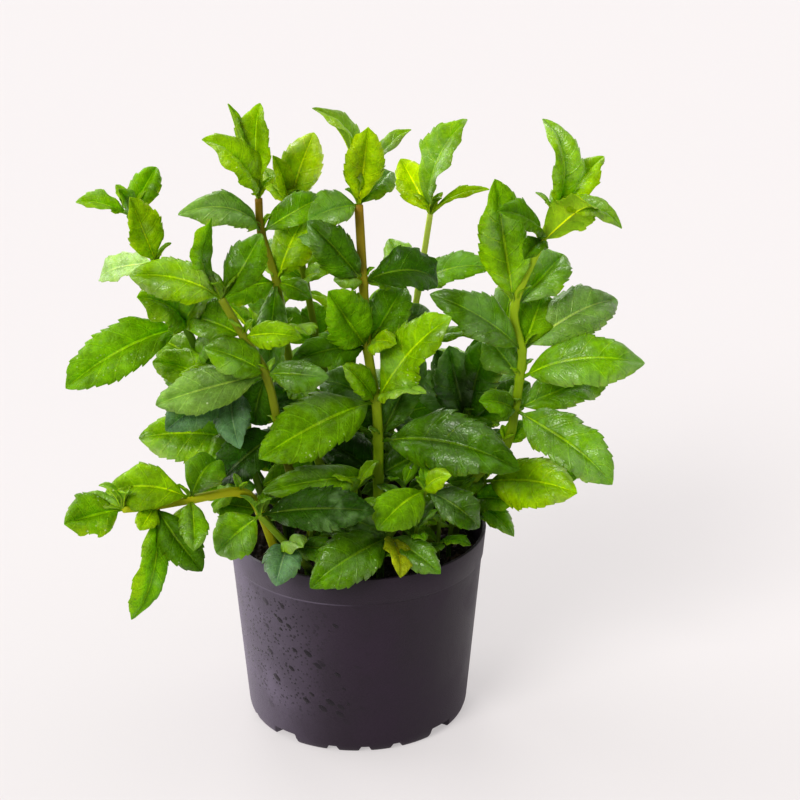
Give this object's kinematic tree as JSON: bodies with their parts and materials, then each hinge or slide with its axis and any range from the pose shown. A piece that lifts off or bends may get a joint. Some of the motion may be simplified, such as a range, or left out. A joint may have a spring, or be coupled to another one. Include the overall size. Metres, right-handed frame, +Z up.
{
  "type": "potted mint plant",
  "caption": "Bushy mint plant with toothed leaves in opposite pairs on square stems, growing in a dark tapered plastic nursery pot filled with soil.",
  "frame": {"origin": "centre of the pot's foot, on the surface that it stands on", "axes": "+Z up along the pot's axis, -Y towards the front that the picture shows, +X to the right in the picture"},
  "size_m": [0.2797, 0.2066, 0.3185],
  "materials": {
    "pot": "matt aubergine-grey moulded plastic",
    "soil": "moist potting soil of peat and bark fibre, matt",
    "foliage": "fresh green mint leaves, slightly glossy and quilted by their veins, on square stems"
  },
  "bodies": {
    "root": {"pot": "pot", "soil": "soil", "shoot_tall_left": "foliage", "shoot_back_left": "foliage", "shoot_centre": "foliage", "shoot_back_right": "foliage", "shoot_tall_right": "foliage", "shoot_far_left": "foliage", "shoot_left": "foliage", "shoot_left_low": "foliage", "shoot_lower_left": "foliage", "shoot_front_left": "foliage", "shoot_front": "foliage", "shoot_right_low": "foliage", "shoot_dark_right": "foliage", "shoot_back_low": "foliage", "shoot_back_middle": "foliage", "shoot_side_right": "foliage"}
  },
  "joints": []
}
